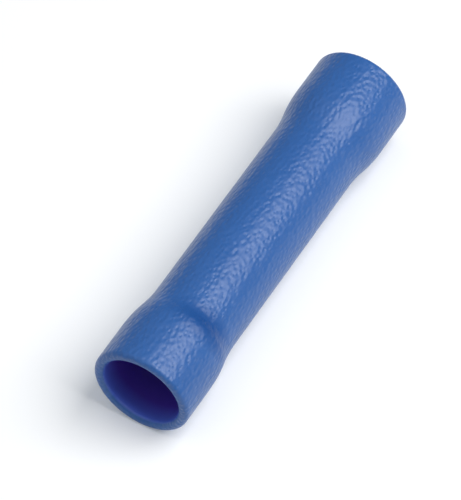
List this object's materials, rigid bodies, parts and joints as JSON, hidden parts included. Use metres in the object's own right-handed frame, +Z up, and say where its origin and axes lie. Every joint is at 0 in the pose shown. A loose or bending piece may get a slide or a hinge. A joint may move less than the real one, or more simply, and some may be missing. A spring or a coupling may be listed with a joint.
{
  "type": "butt splice connector",
  "caption": "Insulated butt splice: a blue vinyl sleeve with belled mouths around a tinned crimp barrel that joins wires end to end.",
  "frame": {"origin": "on the ground, under the middle of the splice as it lies on its side", "axes": "+X along the wires, +Z up"},
  "size_m": [0.025, 0.006, 0.0059],
  "materials": {
    "vinyl": "satin blue vinyl with a fine grain",
    "tinned_copper": "bright tin plating over copper"
  },
  "bodies": {
    "root": {"insulating_sleeve": "vinyl", "crimp_barrel": "tinned_copper"}
  },
  "joints": []
}
